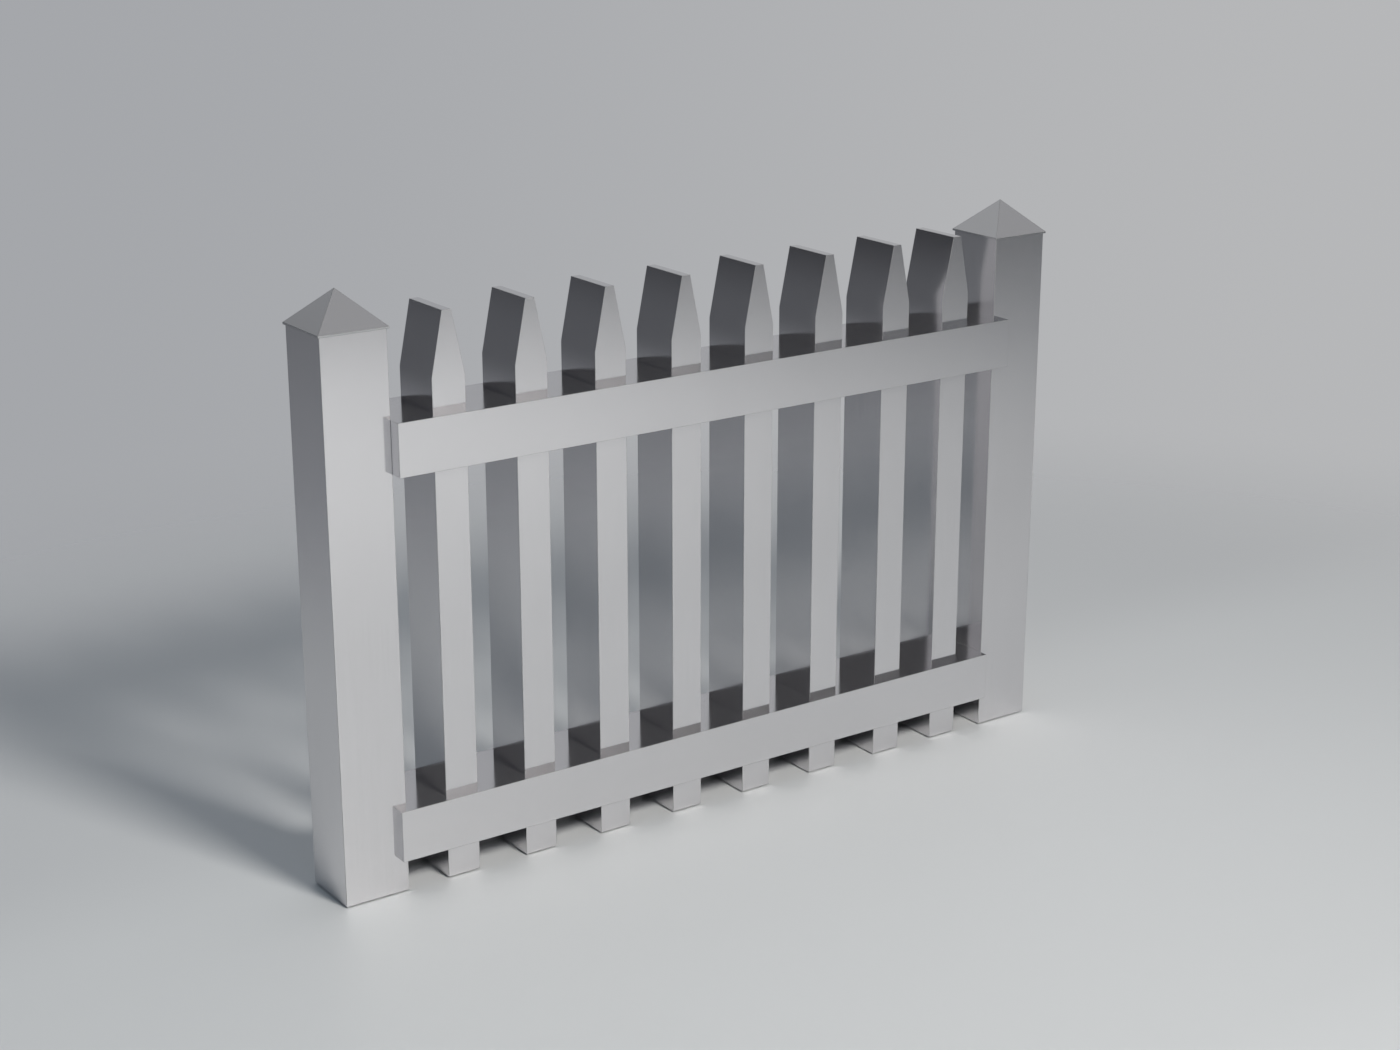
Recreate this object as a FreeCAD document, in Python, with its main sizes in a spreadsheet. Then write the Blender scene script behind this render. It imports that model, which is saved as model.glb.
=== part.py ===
import FreeCAD, Part
import os
import Sketcher

os.makedirs("parts", exist_ok=True)
doc = FreeCAD.newDocument("PicketFencePanel")

# Driving sizes in millimetres

bay_clear = 1520.0  # clear distance between the two posts
post_side = 140.0  # side of a square post
post_height = 1156.0  # post from ground to the underside of its cap
cap_overhang = 4.0  # cap beyond the post on each side
cap_rim = 4.0  # upright rim of the cap
cap_rise = 70.0  # pyramid of the cap above its rim
rail_depth = 180.0  # rail from front to back
rail_height = 108.0  # rail from bottom to top
rail_lap = 20.0  # forked rail end over the post that it grips
lower_rail_bottom = 72.0  # underside of the lower rail above ground
upper_rail_bottom = 870.0  # underside of the upper rail above ground
upper_rail_forward = 10.0  # upper rail forward of the posts' centre line
picket_width = 73.0  # picket across the panel
picket_depth = 128.0  # picket from front to back
picket_height = 1175.0  # picket from ground to tip
picket_forward = 3.0  # pickets forward of the posts' centre line
taper_height = 130.0  # tapered head of a picket
tip_width = 20.0  # flat tip of a picket
first_gap = 93.0  # from the left post to the first picket
closing_gap = 96.0  # before the last picket, which closes the regular row
last_gap = 76.0  # from the last picket to the right post
regular_pickets = 7  # pickets in the regular row

sizes = {
    "bay_clear": bay_clear,
    "post_side": post_side,
    "post_height": post_height,
    "cap_overhang": cap_overhang,
    "cap_rim": cap_rim,
    "cap_rise": cap_rise,
    "rail_depth": rail_depth,
    "rail_height": rail_height,
    "rail_lap": rail_lap,
    "lower_rail_bottom": lower_rail_bottom,
    "upper_rail_bottom": upper_rail_bottom,
    "upper_rail_forward": upper_rail_forward,
    "picket_width": picket_width,
    "picket_depth": picket_depth,
    "picket_height": picket_height,
    "picket_forward": picket_forward,
    "taper_height": taper_height,
    "tip_width": tip_width,
    "first_gap": first_gap,
    "closing_gap": closing_gap,
    "last_gap": last_gap,
}
sheet = doc.addObject("Spreadsheet::Sheet", "Sizes")
for row, (alias, value) in enumerate(sizes.items(), start=1):
    sheet.set("A%d" % row, alias.replace("_", " "))
    sheet.set("B%d" % row, str(value))
    sheet.setAlias("B%d" % row, alias)
doc.recompute()

# Places that several pieces share, as expressions of the sizes

ground = "0"
bay_left = "Sizes.post_side / 2"
left_post_centre = "0"
right_post_centre = "(Sizes.post_side + Sizes.bay_clear)"
post_front = "(-Sizes.post_side / 2)"
lower_rail_front = "(-Sizes.rail_depth / 2)"
upper_rail_front = "(-Sizes.upper_rail_forward - Sizes.rail_depth / 2)"
picket_front = "(-Sizes.picket_forward - Sizes.picket_depth / 2)"
first_picket = "Sizes.first_gap"
last_picket = "(Sizes.bay_clear - Sizes.last_gap - Sizes.picket_width)"
row_end = "(%s - Sizes.closing_gap - Sizes.picket_width)" % last_picket
row_length = "(%s - %s)" % (row_end, first_picket)


# Modelling helpers


def body_at(label, x, y, z):
    """A body for one piece, with its placement tied to the sizes."""
    body = doc.addObject("PartDesign::Body", label)
    body.Label = label
    body.setExpression(".Placement.Base.x", x)
    body.setExpression(".Placement.Base.y", y)
    body.setExpression(".Placement.Base.z", z)
    return body


def sketch_on(body, plane_name, name):
    """An empty sketch on one of the body's own planes."""
    sketch = body.newObject("Sketcher::SketchObject", name)
    planes = [f for f in body.Origin.OriginFeatures if f.Role == plane_name]
    sketch.AttachmentSupport = (planes[0], [""])
    sketch.MapMode = "FlatFace"
    return sketch


def closed_outline(sketch, corners):
    """Straight sides from corner to corner, joined end to end."""
    count = len(corners)
    for i in range(count):
        start = FreeCAD.Vector(*corners[i], 0)
        end = FreeCAD.Vector(*corners[(i + 1) % count], 0)
        sketch.addGeometry(Part.LineSegment(start, end), False)
    for i in range(count):
        sketch.addConstraint(Sketcher.Constraint("Coincident", i, 2, (i + 1) % count, 1))


def driven(sketch, name, kind, from_line, from_end, to_line, to_end, expression):
    """A named distance between two line ends that follows an expression."""
    span = sketch.getPoint(to_line, to_end) - sketch.getPoint(from_line, from_end)
    now = span.x if kind == "DistanceX" else span.y
    index = sketch.addConstraint(Sketcher.Constraint(kind, from_line, from_end, to_line, to_end, now))
    sketch.renameConstraint(index, name)
    sketch.setExpression("Constraints." + name, expression)


def rectangle(body, name, width, depth, left=None, front=None):
    """A rectangle on the body's ground plane, at its corner or at a distance from it."""
    sketch = sketch_on(body, "XY_Plane", name)
    closed_outline(sketch, [(1, 1), (2, 1), (2, 2), (1, 2)])
    for side in (0, 2):
        sketch.addConstraint(Sketcher.Constraint("Horizontal", side))
    for side in (1, 3):
        sketch.addConstraint(Sketcher.Constraint("Vertical", side))
    driven(sketch, "Width", "DistanceX", 0, 1, 0, 2, width)
    driven(sketch, "Depth", "DistanceY", 1, 1, 1, 2, depth)
    if left is None:
        sketch.addConstraint(Sketcher.Constraint("PointOnObject", 0, 1, -2))
    else:
        driven(sketch, "Left", "DistanceX", -1, 1, 0, 1, left)
    if front is None:
        sketch.addConstraint(Sketcher.Constraint("PointOnObject", 0, 1, -1))
    else:
        driven(sketch, "Front", "DistanceY", -1, 1, 0, 1, front)
    return sketch


def padded(body, sketch, name, length, backwards=False):
    """The sketch drawn out to a solid."""
    pad = body.newObject("PartDesign::Pad", name)
    pad.Profile = sketch
    pad.setExpression("Length", length)
    pad.Reversed = backwards
    return pad


def cut_through(body, sketch, name):
    """The sketch cut up through the whole height of the body."""
    pocket = body.newObject("PartDesign::Pocket", name)
    pocket.Profile = sketch
    pocket.Type = "ThroughAll"
    pocket.Reversed = True
    return pocket


# Pieces


def make_post(label, centre):
    """A square post from the ground up."""
    body = body_at(label, "%s - Sizes.post_side / 2" % centre, post_front, ground)
    section = rectangle(body, label + "_section", "Sizes.post_side", "Sizes.post_side")
    padded(body, section, label + "_length", "Sizes.post_height")
    return body


def make_cap(label, centre):
    """A square rim with a low pyramid that meets in a point over the post's centre."""
    side = "(Sizes.post_side + 2 * Sizes.cap_overhang)"
    body = body_at(label, "%s - %s / 2" % (centre, side), "-%s / 2" % side, "Sizes.post_height")
    section = rectangle(body, label + "_section", side, side)
    padded(body, section, label + "_rim", "Sizes.cap_rim")
    pyramid = body.newObject("PartDesign::AdditiveWedge", label + "_pyramid")
    upright = FreeCAD.Rotation(FreeCAD.Vector(1, 0, 0), 90)
    pyramid.Placement = FreeCAD.Placement(FreeCAD.Vector(0, 0, 0), upright)
    pyramid.setExpression(".Placement.Base.y", side)
    pyramid.setExpression(".Placement.Base.z", "Sizes.cap_rim")
    pyramid.Xmin = 0
    pyramid.Ymin = 0
    pyramid.Zmin = 0
    pyramid.setExpression("Xmax", side)
    pyramid.setExpression("Ymax", "Sizes.cap_rise")
    pyramid.setExpression("Zmax", side)
    for apex_edge in ("X2min", "X2max", "Z2min", "Z2max"):
        pyramid.setExpression(apex_edge, side + " / 2")
    return body


def make_rail(label, front, bottom, grips_left_post):
    """A rail with a mortise for each picket and a forked end round one post."""
    lap_left = "Sizes.rail_lap" if grips_left_post else "0"
    body = body_at(label, "%s - %s" % (bay_left, lap_left), front, bottom)
    plan = rectangle(body, label + "_plan", "Sizes.bay_clear + Sizes.rail_lap", "Sizes.rail_depth")
    padded(body, plan, label + "_height", "Sizes.rail_height")

    def mortise(name, place_in_bay):
        left = "%s + %s" % (lap_left, place_in_bay)
        behind_front = "%s - %s" % (picket_front, front)
        plan = rectangle(body, name + "_plan", "Sizes.picket_width", "Sizes.picket_depth", left, behind_front)
        return cut_through(body, plan, name)

    first = mortise(label + "_first_mortise", first_picket)
    row = body.newObject("PartDesign::LinearPattern", label + "_mortise_row")
    row.Originals = [first]
    row.Direction = (first.Profile[0], ["H_Axis"])
    row.Occurrences = regular_pickets
    row.setExpression("Length", row_length)
    body.Tip = row
    mortise(label + "_last_mortise", last_picket)

    fork_left = None if grips_left_post else "Sizes.bay_clear"
    fork_front = "%s - %s" % (post_front, front)
    fork = rectangle(body, label + "_fork_plan", "Sizes.rail_lap", "Sizes.post_side", fork_left, fork_front)
    cut_through(body, fork, label + "_fork")
    return body


def make_picket(label, place_in_bay):
    """A deep picket whose head tapers from both sides to a flat tip."""
    body = body_at(label, "%s + %s" % (bay_left, place_in_bay), picket_front, ground)
    face = sketch_on(body, "XZ_Plane", label + "_face")
    shoulder = picket_height - taper_height
    tip_left = (picket_width - tip_width) / 2
    tip_right = tip_left + tip_width
    closed_outline(face, [
        (0, 0),
        (picket_width, 0),
        (picket_width, shoulder),
        (tip_right, picket_height),
        (tip_left, picket_height),
        (0, shoulder),
    ])
    for side in (0, 3):
        face.addConstraint(Sketcher.Constraint("Horizontal", side))
    for side in (1, 5):
        face.addConstraint(Sketcher.Constraint("Vertical", side))
    face.addConstraint(Sketcher.Constraint("Coincident", 0, 1, -1, 1))
    face.addConstraint(Sketcher.Constraint("Equal", 1, 5))
    face.addConstraint(Sketcher.Constraint("Equal", 2, 4))
    driven(face, "Width", "DistanceX", 0, 1, 0, 2, "Sizes.picket_width")
    driven(face, "Tip", "DistanceX", 3, 2, 3, 1, "Sizes.tip_width")
    driven(face, "Height", "DistanceY", 0, 1, 3, 2, "Sizes.picket_height")
    driven(face, "Taper", "DistanceY", 4, 2, 4, 1, "Sizes.taper_height")
    padded(body, face, label + "_depth", "Sizes.picket_depth", backwards=True)
    return body


pieces = [
    make_post("left_post", left_post_centre),
    make_post("right_post", right_post_centre),
    make_cap("left_post_cap", left_post_centre),
    make_cap("right_post_cap", right_post_centre),
    make_rail("upper_rail", upper_rail_front, "Sizes.upper_rail_bottom", grips_left_post=False),
    make_rail("lower_rail", lower_rail_front, "Sizes.lower_rail_bottom", grips_left_post=True),
]
for i in range(regular_pickets):
    place = "%s + %s * %d / %d" % (first_picket, row_length, i, regular_pickets - 1)
    pieces.append(make_picket("picket_%d" % (i + 1), place))
pieces.append(make_picket("picket_%d" % (regular_pickets + 1), last_picket))

doc.recompute()
for item in doc.Objects:
    if "Invalid" in item.State or "Error" in item.State:
        raise RuntimeError("%s: %s" % (item.Label, item.State))
for piece in pieces:
    shape = piece.Shape
    if shape.isNull() or not shape.isValid() or len(shape.Solids) != 1:
        raise RuntimeError("%s has no single valid solid" % piece.Label)
    shape.exportStep("parts/%s.step" % piece.Label)
    box = shape.BoundBox
    print(piece.Label, "%.0f x %.0f x %.0f mm" % (box.XLength, box.YLength, box.ZLength))
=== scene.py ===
from math import pi, radians

import bmesh
import bpy
from bpy.props import FloatProperty, FloatVectorProperty, PointerProperty
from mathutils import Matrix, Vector


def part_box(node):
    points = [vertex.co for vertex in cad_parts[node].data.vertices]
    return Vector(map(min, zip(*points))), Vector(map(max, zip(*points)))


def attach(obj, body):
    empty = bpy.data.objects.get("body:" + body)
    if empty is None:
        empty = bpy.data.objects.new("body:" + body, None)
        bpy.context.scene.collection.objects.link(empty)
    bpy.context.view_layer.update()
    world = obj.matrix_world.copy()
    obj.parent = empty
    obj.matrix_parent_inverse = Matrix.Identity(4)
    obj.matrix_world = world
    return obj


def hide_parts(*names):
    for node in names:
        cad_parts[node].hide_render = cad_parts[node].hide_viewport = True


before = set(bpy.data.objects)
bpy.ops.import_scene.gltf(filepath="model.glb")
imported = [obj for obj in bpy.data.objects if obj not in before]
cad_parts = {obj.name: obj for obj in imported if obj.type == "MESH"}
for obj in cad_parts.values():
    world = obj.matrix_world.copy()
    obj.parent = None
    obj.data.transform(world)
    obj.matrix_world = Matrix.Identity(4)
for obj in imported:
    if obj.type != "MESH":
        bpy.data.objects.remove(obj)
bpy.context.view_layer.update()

bl_info = {
    "name": "Picket fence panel",
    "version": (1, 0, 0),
    "blender": (4, 5, 0),
    "location": "3D View > Sidebar > Fence",
    "description": "Dresses the packed panel in satin metal and sets it in a plain studio",
    "category": "Object",
}

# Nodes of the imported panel, by kind of piece

POSTS = ("left_post", "right_post")
CAPS = ("left_post_cap", "right_post_cap")
RAILS = ("upper_rail", "lower_rail")
PICKETS = tuple(sorted(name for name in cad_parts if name.startswith("picket_")))

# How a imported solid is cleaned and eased, in metres and radians

MERGE_DISTANCE = 1e-5
ON_OUTSIDE = 1e-4
ON_GROUND = 1e-4
FLAT_ANGLE = radians(0.5)
SHARP_ANGLE = radians(20)
SOFT_BEND = radians(40)
ROUNDING_STEPS = 3

# Satin metal: noise across and along the grain, its spread, the share of metal, and the eased edges,
# which are painted darker as painted shade

GRAIN_ACROSS = 420.0
GRAIN_ALONG = 5.0
GRAIN_RANGE = (0.3, 0.7)
GRAIN_ROUGHNESS = 0.02
GRAIN_TONES = (0.975, 1.025)
HANDLING_RANGE = (0.35, 0.7)
HANDLING_TONE = 0.95
HANDLING_SHARE = 0.35
HANDLING_ROUGHNESS = (-0.01, 0.02)
METAL_SHARE = 0.95
# Painted shade: the eased edges darker than the faces, which dims their highlights
EDGE_PAINTED_SHADE = 0.6
EDGE_ROUGHNESS = 0.8
CAP_EXTRA_ROUGHNESS = 0.05

# Floor: a disc just under the feet, two fades as centre, start and end in metres, and the tones by
# depth, with painted light far in front and painted shade behind

FLOOR_PLACE = (0.83, 0.0, -0.0035)
FLOOR_RADIUS = 12.0
FLOOR_SEGMENTS = 96
FLOOR_ROUGHNESS = 0.5
FADE_BEHIND = ((0.6, -0.9, 0.0), 2.2, 4.2)
FADE_BEFORE = ((-0.6, -1.4, 0.0), 3.0, 8.5)
FADES_MEET = (-1.6, -0.8)
# Painted light: the floor is made lighter far in front
FRONT_DEPTH = (-4.6, -1.4)
FRONT_PAINTED_LIGHT_GAIN = 1.52
# Painted shade: the floor is made darker and cooler behind
BACK_DEPTH = (0.0, 0.5)
BACK_PAINTED_SHADE_TONE = (0.548, 0.556, 0.568)

# Painted contact shade on the floor under the back of the lower rail, by distance from its middle

CONTACT_MIDDLE = (0.83, 0.045, 0.0)
CONTACT_DEPTH = (0.008, 0.05)
CONTACT_LENGTH = (0.82, 0.86)
CONTACT_PAINTED_SHADE_TONE = 0.1

# Room: its plain tone, the dim wall at the back left by height, and the backdrop

ROOM_TONE = (0.15, 0.185, 0.225)
WALL_LOW = ((-0.34, -0.12), (0.27, 0.28, 0.30))
WALL_MIDDLE = ((-0.07, 0.12), (0.099, 0.103, 0.113))
WALL_HIGH = (0.03, 0.03, 0.034)
WALL = ((-0.6, 0.8, 0.1), 0.4, 0.8)
BACKDROP = ((0.6, 0.79, 0.1), 0.45, 0.78)
BACKDROP_SIDES = ((0.82, -0.57, 0.0), -0.3, 0.3)

# Soft patches over the room, each with its direction, closeness at its rim and core, and tone:
# ceiling, dim front, dark corner high in front, glow in front, and pale ceiling at the back

PATCHES = (
    ((0.5, -0.1, 0.85), 0.75, 0.97, (0.40, 0.40, 0.41)),
    ((0.3, -0.95, -0.1), 0.7, 0.98, (0.11, 0.11, 0.11)),
    ((0.52, -0.63, 0.58), 0.913, 0.982, (0.03, 0.03, 0.034)),
    ((0.225, -0.945, 0.24), 0.903, 0.984, (0.75, 0.74, 0.73)),
    ((0.0, 0.62, 0.78), 0.81, 0.985, (0.47, 0.475, 0.48)),
)

# Lamps and camera, in metres and radians

KEY_PLACE = (0.8, -3.7, 3.25)
KEY_AIM = (0.8, -1.8, 0.0)
KEY_SIZE = 1.15
KEY_COLOUR = (1.0, 0.975, 0.925)
OVERHEAD_PLACE = (-0.6, 0.3, 5.0)
OVERHEAD_AIM = (-0.6, 0.3, 0.0)
OVERHEAD_SIZE = 5.0
OVERHEAD_COLOUR = (0.62, 0.85, 1.0)
CAMERA_PLACE = (-1.9575, -3.9728, 2.1559)
CAMERA_TURN = (pi / 2 - 0.30782, 0.0, -0.61271)
CAMERA_FRAME_MM = 36.0
CAMERA_REACH = 200.0


# Settings that a user would change


class FenceFinish(bpy.types.PropertyGroup):
    """Metal of the panel and the way its edges are eased."""

    section_colour: FloatVectorProperty(
        name="Section metal", description="Posts, rails and pickets", subtype="COLOR",
        size=3, min=0.0, max=1.0, default=(0.732, 0.722, 0.735))
    cap_colour: FloatVectorProperty(
        name="Cap metal", description="Pressed caps, a little duller than the sections",
        subtype="COLOR", size=3, min=0.0, max=1.0, default=(0.64, 0.64, 0.65))
    gloss_roughness: FloatProperty(
        name="Roughness", description="Roughness of the satin face", subtype="FACTOR",
        min=0.05, max=0.8, default=0.13)
    edge_radius: FloatProperty(
        name="Edge radius", description="Rounding of the sections' edges",
        subtype="DISTANCE", unit="LENGTH", min=0.0002, max=0.01, default=0.0006)
    cap_edge_radius: FloatProperty(
        name="Cap edge radius", description="Rounding of the pressed edges of a cap",
        subtype="DISTANCE", unit="LENGTH", min=0.0002, max=0.01, default=0.0005)


class FenceStage(bpy.types.PropertyGroup):
    """Floor, light and camera of the studio."""

    floor_colour: FloatVectorProperty(
        name="Floor", description="Pale floor round the panel", subtype="COLOR",
        size=3, min=0.0, max=1.0, default=(0.60, 0.61, 0.62))
    backdrop_left: FloatVectorProperty(
        name="Backdrop left", description="Backdrop behind the left of the panel", subtype="COLOR",
        size=3, min=0.0, max=1.0, default=(0.375, 0.385, 0.405))
    backdrop_right: FloatVectorProperty(
        name="Backdrop right", description="Backdrop behind the right of the panel", subtype="COLOR",
        size=3, min=0.0, max=1.0, default=(0.47, 0.475, 0.485))
    key_power: FloatProperty(
        name="Key lamp", description="Soft lamp in front of the panel", unit="POWER",
        min=0.0, max=5000.0, default=8.6)
    fill_power: FloatProperty(
        name="Overhead lamp", description="Broad cool lamp over the floor", unit="POWER",
        min=0.0, max=5000.0, default=20.0)
    lens: FloatProperty(
        name="Lens", description="Focal length of the camera on a 36 mm frame", unit="CAMERA",
        min=10.0, max=300.0, default=61.32)


# Shader helpers

# Sockets of a Mix node for each kind of value: first value, second value and result
MIX_SOCKETS = {"FLOAT": (2, 3, 0), "RGBA": (6, 7, 2)}


def join(tree, socket, value):
    """Set a socket to a constant, or link it to another socket."""
    if isinstance(value, bpy.types.NodeSocket):
        tree.links.new(value, socket)
    else:
        socket.default_value = value


def add(tree, kind, **inputs):
    """Add a node and join the inputs named, with an underscore for a space in a name."""
    node = tree.nodes.new(kind)
    for name, value in inputs.items():
        join(tree, node.inputs[name.replace("_", " ")], value)
    return node


def worked(tree, kind, operation, *operands):
    """Add a maths node of some kind and join its operands in order."""
    node = tree.nodes.new(kind)
    node.operation = operation
    for socket, value in zip(node.inputs, operands):
        join(tree, socket, value)
    return node


def spread(tree, value, low, high, to_low=0.0, to_high=1.0, smooth=False):
    """Carry a value from one range to another and hold it inside."""
    node = add(tree, "ShaderNodeMapRange", Value=value, From_Min=low, From_Max=high,
               To_Min=to_low, To_Max=to_high)
    node.interpolation_type = "SMOOTHSTEP" if smooth else "LINEAR"
    node.clamp = True
    return node.outputs["Result"]


def mixed(tree, kind, share, first, second):
    """Pass from one number or colour into another by a share."""
    node = tree.nodes.new("ShaderNodeMix")
    node.data_type = kind
    first_at, second_at, result_at = MIX_SOCKETS[kind]
    for at, value in ((0, share), (first_at, first), (second_at, second)):
        join(tree, node.inputs[at], value)
    return node.outputs[result_at]


def toned(colour, factor=1.0):
    """A colour made darker or lighter, with full alpha."""
    return tuple(min(1.0, part * factor) for part in colour) + (1.0,)


def blank_material(name):
    """A material with an empty node tree, and the Object coordinates in it."""
    material = bpy.data.materials.new(name)
    material.use_nodes = True
    tree = material.node_tree
    tree.nodes.clear()
    place = add(tree, "ShaderNodeTexCoord").outputs["Object"]
    return material, tree, place


def satin_metal(name, colour, roughness, along):
    """Satin metal with a fine grain along one axis, and eased edges that are rougher and painted darker
    as painted shade.
    """
    material, tree, place = blank_material(name)
    stretch = [GRAIN_ACROSS] * 3
    stretch["XYZ".index(along)] = GRAIN_ALONG
    lay = add(tree, "ShaderNodeMapping", Vector=place, Scale=stretch).outputs["Vector"]
    brushing = add(tree, "ShaderNodeTexNoise", Vector=lay, Scale=1.0, Detail=3.0,
                   Roughness=0.6).outputs["Fac"]
    handling = add(tree, "ShaderNodeTexNoise", Vector=place, Scale=3.5, Detail=4.0,
                   Roughness=0.55).outputs["Fac"]
    edge = add(tree, "ShaderNodeAttribute")
    edge.attribute_name = "eased_edge"
    edge_share = edge.outputs["Fac"]

    dark, light = (toned(colour, factor) for factor in GRAIN_TONES)
    tone = mixed(tree, "RGBA", spread(tree, brushing, *GRAIN_RANGE), dark, light)
    handled = spread(tree, handling, *HANDLING_RANGE, 0.0, HANDLING_SHARE)
    tone = mixed(tree, "RGBA", handled, tone, toned(colour, HANDLING_TONE))
    # Painted shade: eased edges darker, which dims their highlights
    tone = mixed(tree, "RGBA", edge_share, tone, toned(colour, EDGE_PAINTED_SHADE))

    smoothest = roughness - GRAIN_ROUGHNESS
    roughest = roughness + GRAIN_ROUGHNESS
    rough = worked(tree, "ShaderNodeMath", "ADD",
                   spread(tree, brushing, *GRAIN_RANGE, smoothest, roughest),
                   spread(tree, handling, *HANDLING_RANGE, *HANDLING_ROUGHNESS)).outputs["Value"]
    rough = mixed(tree, "FLOAT", edge_share, rough, EDGE_ROUGHNESS)
    relief = add(tree, "ShaderNodeBump", Height=brushing, Strength=0.04,
                 Distance=0.0002).outputs["Normal"]

    shader = add(tree, "ShaderNodeBsdfPrincipled", Base_Color=tone, Metallic=METAL_SHARE,
                 Roughness=rough, Normal=relief)
    add(tree, "ShaderNodeOutputMaterial", Surface=shader.outputs["BSDF"])
    return material


# Pieces


def outside_edges(bm):
    """Edges on the outer box of a piece, without those round its mortises and fork."""
    low = [min(vert.co[axis] for vert in bm.verts) for axis in range(3)]
    high = [max(vert.co[axis] for vert in bm.verts) for axis in range(3)]
    found = []
    for edge in bm.edges:
        middle = (edge.verts[0].co + edge.verts[1].co) / 2
        gaps = [min(middle[axis] - low[axis], high[axis] - middle[axis]) for axis in range(3)]
        if sum(gap < ON_OUTSIDE for gap in gaps) >= 2:
            found.append(edge)
    return found


def dressed(node, material, radius, outside_only=False, flat_below=None):
    """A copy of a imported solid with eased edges, which stands for that solid.

    Sharp edges are rounded, apart from those on the ground and, with outside_only, those round the
    mortises and fork. The faces between them shade flat. Only a shallow bend, such as a picket's
    shoulder, shades softly, and a cut at the height flat_below keeps that softness above it.
    """
    name = node + "_section"
    bm = bmesh.new()
    bm.from_mesh(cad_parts[node].data)
    bmesh.ops.remove_doubles(bm, verts=bm.verts, dist=MERGE_DISTANCE)
    bmesh.ops.dissolve_limit(bm, angle_limit=FLAT_ANGLE, verts=bm.verts, edges=bm.edges)
    if flat_below is not None:
        bmesh.ops.bisect_plane(
            bm, geom=bm.verts[:] + bm.edges[:] + bm.faces[:],
            plane_co=(0.0, 0.0, flat_below), plane_no=(0.0, 0.0, 1.0))
    eased_edge = bm.faces.layers.float.new("eased_edge")
    if outside_only:
        sharp = outside_edges(bm)
    else:
        sharp = [edge for edge in bm.edges if edge.calc_face_angle(0.0) > SHARP_ANGLE]
    sharp = [edge for edge in sharp if max(vert.co.z for vert in edge.verts) > ON_GROUND]
    eased = bmesh.ops.bevel(
        bm, geom=sharp, offset=radius, offset_type="OFFSET", segments=ROUNDING_STEPS, profile=0.5,
        affect="EDGES", clamp_overlap=True, material=-1)
    for face in eased["faces"]:
        face[eased_edge] = 1.0
    for face in bm.faces:
        face.smooth = True
    for edge in bm.edges:
        alike = len({face[eased_edge] for face in edge.link_faces}) == 1
        edge.smooth = alike and edge.calc_face_angle(0.0) < SOFT_BEND
    mesh = bpy.data.meshes.new(name)
    bm.to_mesh(mesh)
    bm.free()
    mesh.materials.append(material)
    piece = bpy.data.objects.new(name, mesh)
    bpy.context.scene.collection.objects.link(piece)
    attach(piece, "root")
    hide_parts(node)
    return piece


class FENCE_OT_posts(bpy.types.Operator):
    """Square posts at the two ends of the panel"""

    bl_idname = "fence.posts"
    bl_label = "Posts"

    def execute(self, context):
        finish = context.scene.fence_finish
        metal = satin_metal("post_satin_metal", finish.section_colour, finish.gloss_roughness, "Z")
        for node in POSTS:
            dressed(node, metal, finish.edge_radius)
        return {"FINISHED"}


class FENCE_OT_caps(bpy.types.Operator):
    """Low pyramid caps on the posts"""

    bl_idname = "fence.caps"
    bl_label = "Post caps"

    def execute(self, context):
        finish = context.scene.fence_finish
        roughness = finish.gloss_roughness + CAP_EXTRA_ROUGHNESS
        metal = satin_metal("cap_satin_metal", finish.cap_colour, roughness, "Z")
        for node in CAPS:
            dressed(node, metal, finish.cap_edge_radius)
        return {"FINISHED"}


class FENCE_OT_rails(bpy.types.Operator):
    """Upper and lower rail with the pickets let into them"""

    bl_idname = "fence.rails"
    bl_label = "Rails"

    def execute(self, context):
        finish = context.scene.fence_finish
        metal = satin_metal("rail_satin_metal", finish.section_colour, finish.gloss_roughness, "X")
        for node in RAILS:
            dressed(node, metal, finish.edge_radius, outside_only=True)
        return {"FINISHED"}


class FENCE_OT_pickets(bpy.types.Operator):
    """Row of deep pickets with tapered heads"""

    bl_idname = "fence.pickets"
    bl_label = "Pickets"

    def execute(self, context):
        finish = context.scene.fence_finish
        metal = satin_metal("picket_satin_metal", finish.section_colour, finish.gloss_roughness, "Z")
        rail_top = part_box("upper_rail")[1].z
        for node in PICKETS:
            dressed(node, metal, finish.edge_radius, flat_below=rail_top)
        return {"FINISHED"}


# Studio


def outside_painted_contact_shade(tree, place):
    """Share of the floor outside the painted contact shade, which is none under the back of the lower
    rail.
    """
    offset = worked(tree, "ShaderNodeVectorMath", "SUBTRACT", place, CONTACT_MIDDLE).outputs["Vector"]
    reach = worked(tree, "ShaderNodeVectorMath", "ABSOLUTE", offset).outputs["Vector"]
    parts = add(tree, "ShaderNodeSeparateXYZ", Vector=reach)
    beyond_ends = spread(tree, parts.outputs["X"], *CONTACT_LENGTH, smooth=True)
    beyond_rail = spread(tree, parts.outputs["Y"], *CONTACT_DEPTH, smooth=True)
    return worked(tree, "ShaderNodeMath", "MAXIMUM", beyond_ends, beyond_rail).outputs["Value"]


def fade(tree, place, centre, start, end):
    """Share of the floor that is gone at some distance from a centre."""
    away = worked(tree, "ShaderNodeVectorMath", "DISTANCE", place, centre).outputs["Value"]
    return spread(tree, away, start, end, smooth=True)


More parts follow.
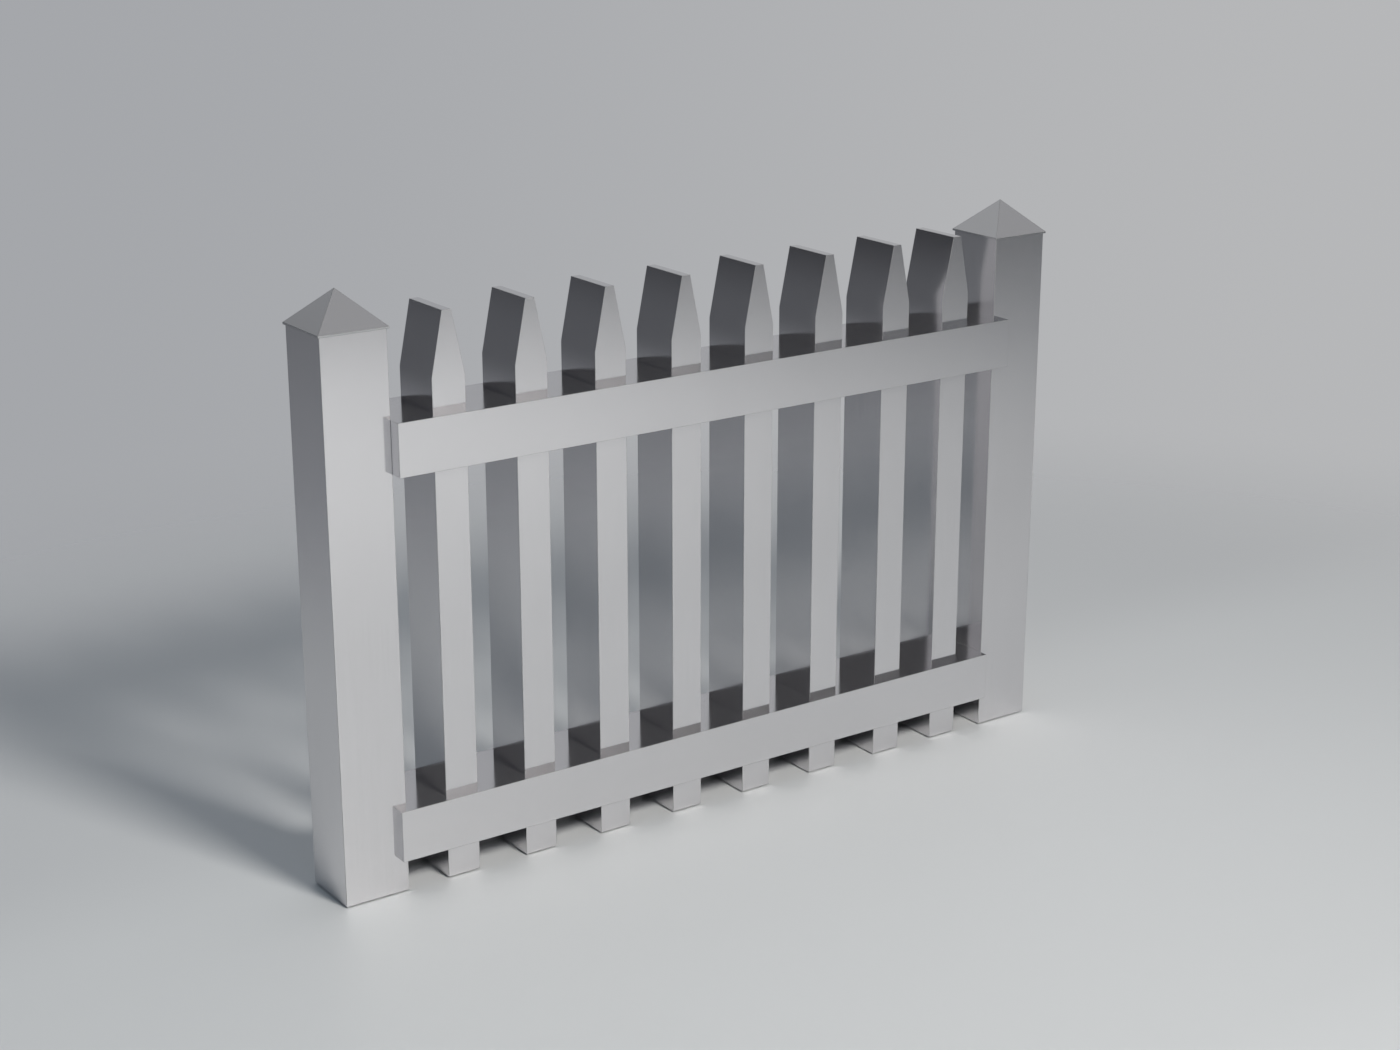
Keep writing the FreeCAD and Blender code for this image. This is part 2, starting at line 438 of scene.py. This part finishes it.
def floor_material(colour):
    """Pale floor with painted light that makes it lighter far in front and painted shade that makes it
    darker behind, that fades into the room some metres away.
    """
    material, tree, place = blank_material("pale_floor")
    depth = add(tree, "ShaderNodeSeparateXYZ", Vector=place).outputs["Y"]
    far = mixed(tree, "FLOAT", spread(tree, depth, *FADES_MEET, smooth=True),
                fade(tree, place, *FADE_BEFORE), fade(tree, place, *FADE_BEHIND))
    # Painted light: lighter far in front
    tone = mixed(tree, "RGBA", spread(tree, depth, *FRONT_DEPTH),
                 toned(colour, FRONT_PAINTED_LIGHT_GAIN), toned(colour))
    # Painted shade: darker and cooler behind
    tone = mixed(tree, "RGBA", spread(tree, depth, *BACK_DEPTH, smooth=True), tone, toned(BACK_PAINTED_SHADE_TONE))
    # Painted contact shade: darker under the back of the lower rail
    tone = mixed(tree, "RGBA", outside_painted_contact_shade(tree, place), toned(colour, CONTACT_PAINTED_SHADE_TONE), tone)
    matt = add(tree, "ShaderNodeBsdfPrincipled", Base_Color=tone, Roughness=FLOOR_ROUGHNESS, IOR=1.45)
    clear = add(tree, "ShaderNodeBsdfTransparent")
    both = tree.nodes.new("ShaderNodeMixShader")
    for socket, value in zip(both.inputs, (far, matt.outputs["BSDF"], clear.outputs["BSDF"])):
        join(tree, socket, value)
    add(tree, "ShaderNodeOutputMaterial", Surface=both.outputs["Shader"])
    return material


def closeness(tree, way, towards, start, full):
    """Share of a patch seen in a direction, from none at its rim to all of it at its core."""
    aim = Vector(towards).normalized()
    node = worked(tree, "ShaderNodeVectorMath", "DOT_PRODUCT", way, aim)
    return spread(tree, node.outputs["Value"], start, full, smooth=True)


def studio_world(left, right):
    """Soft dim room, darkest high at the back left and in front, with pale patches and backdrop."""
    world = bpy.data.worlds.new("soft_studio")
    bpy.context.scene.world = world
    world.use_nodes = True
    tree = world.node_tree
    tree.nodes.clear()
    way = add(tree, "ShaderNodeTexCoord").outputs["Generated"]
    height = add(tree, "ShaderNodeSeparateXYZ", Vector=way).outputs["Z"]

    middle_heights, middle_tone = WALL_MIDDLE
    low_heights, low_tone = WALL_LOW
    wall = mixed(tree, "RGBA", spread(tree, height, *middle_heights, smooth=True),
                 toned(middle_tone), toned(WALL_HIGH))
    wall = mixed(tree, "RGBA", spread(tree, height, *low_heights, smooth=True), toned(low_tone), wall)
    room = mixed(tree, "RGBA", closeness(tree, way, *WALL), toned(ROOM_TONE), wall)
    for towards, rim, core, tone in PATCHES:
        room = mixed(tree, "RGBA", closeness(tree, way, towards, rim, core), room, toned(tone))
    backdrop = mixed(tree, "RGBA", closeness(tree, way, *BACKDROP_SIDES), toned(left), toned(right))
    room = mixed(tree, "RGBA", closeness(tree, way, *BACKDROP), room, backdrop)

    back = add(tree, "ShaderNodeBackground", Color=room, Strength=1.0)
    add(tree, "ShaderNodeOutputWorld", Surface=back.outputs["Background"])


def soft_lamp(name, place, aim, size, power, colour, falloff):
    """Round soft lamp that faces a point, with its light falling off with distance or not."""
    light = bpy.data.lights.new(name, "AREA")
    light.shape = "DISK"
    light.size = size
    light.energy = power
    light.color = colour
    light.use_nodes = True
    tree = light.node_tree
    tree.nodes.clear()
    reach = add(tree, "ShaderNodeLightFalloff", Strength=1.0).outputs[falloff]
    glow = add(tree, "ShaderNodeEmission", Strength=reach)
    add(tree, "ShaderNodeOutputLight", Surface=glow.outputs["Emission"])
    lamp = bpy.data.objects.new(name, light)
    lamp.location = place
    lamp.rotation_euler = (Vector(aim) - Vector(place)).to_track_quat("-Z", "Y").to_euler()
    bpy.context.scene.collection.objects.link(lamp)
    return lamp


class FENCE_OT_stage(bpy.types.Operator):
    """Pale floor, soft light and the camera at the photo's angle"""

    bl_idname = "fence.stage"
    bl_label = "Studio"

    def execute(self, context):
        stage = context.scene.fence_stage
        bm = bmesh.new()
        bmesh.ops.create_circle(bm, cap_ends=True, segments=FLOOR_SEGMENTS, radius=FLOOR_RADIUS)
        bmesh.ops.translate(bm, verts=bm.verts, vec=FLOOR_PLACE)
        mesh = bpy.data.meshes.new("pale_floor")
        bm.to_mesh(mesh)
        bm.free()
        mesh.materials.append(floor_material(stage.floor_colour))
        floor = bpy.data.objects.new("pale_floor", mesh)
        context.scene.collection.objects.link(floor)

        studio_world(stage.backdrop_left, stage.backdrop_right)
        soft_lamp("key_lamp", KEY_PLACE, KEY_AIM, KEY_SIZE, stage.key_power, KEY_COLOUR, "Constant")
        overhead = soft_lamp("overhead_lamp", OVERHEAD_PLACE, OVERHEAD_AIM, OVERHEAD_SIZE,
                             stage.fill_power, OVERHEAD_COLOUR, "Quadratic")
        overhead.visible_glossy = False  # not mirrored in the metal

        camera = bpy.data.cameras.new("photo_camera")
        camera.sensor_fit = "HORIZONTAL"
        camera.sensor_width = CAMERA_FRAME_MM
        camera.lens = stage.lens
        camera.clip_end = CAMERA_REACH
        camera.dof.use_dof = False
        viewer = bpy.data.objects.new("photo_camera", camera)
        viewer.location = CAMERA_PLACE
        viewer.rotation_euler = CAMERA_TURN
        context.scene.collection.objects.link(viewer)
        context.scene.camera = viewer
        context.scene.view_settings.view_transform = "Standard"
        return {"FINISHED"}


class FENCE_PT_panel(bpy.types.Panel):
    """Lists the pieces of the fence panel and their settings"""

    bl_idname = "FENCE_PT_panel"
    bl_label = "Picket fence panel"
    bl_space_type = "VIEW_3D"
    bl_region_type = "UI"
    bl_category = "Fence"

    def draw(self, context):
        for operator in OPERATORS:
            self.layout.operator(operator.bl_idname)
        for group in (context.scene.fence_finish, context.scene.fence_stage):
            column = self.layout.column()
            for name in group.__annotations__:
                column.prop(group, name)


OPERATORS = (FENCE_OT_posts, FENCE_OT_caps, FENCE_OT_rails, FENCE_OT_pickets, FENCE_OT_stage)
CLASSES = (FenceFinish, FenceStage) + OPERATORS + (FENCE_PT_panel,)


def register():
    for cls in CLASSES:
        bpy.utils.register_class(cls)
    bpy.types.Scene.fence_finish = PointerProperty(type=FenceFinish)
    bpy.types.Scene.fence_stage = PointerProperty(type=FenceStage)


def unregister():
    del bpy.types.Scene.fence_stage
    del bpy.types.Scene.fence_finish
    for cls in reversed(CLASSES):
        bpy.utils.unregister_class(cls)


def main():
    register()
    bpy.ops.fence.posts()
    bpy.ops.fence.caps()
    bpy.ops.fence.rails()
    bpy.ops.fence.pickets()
    bpy.ops.fence.stage()


if __name__ == "__main__":
    main()
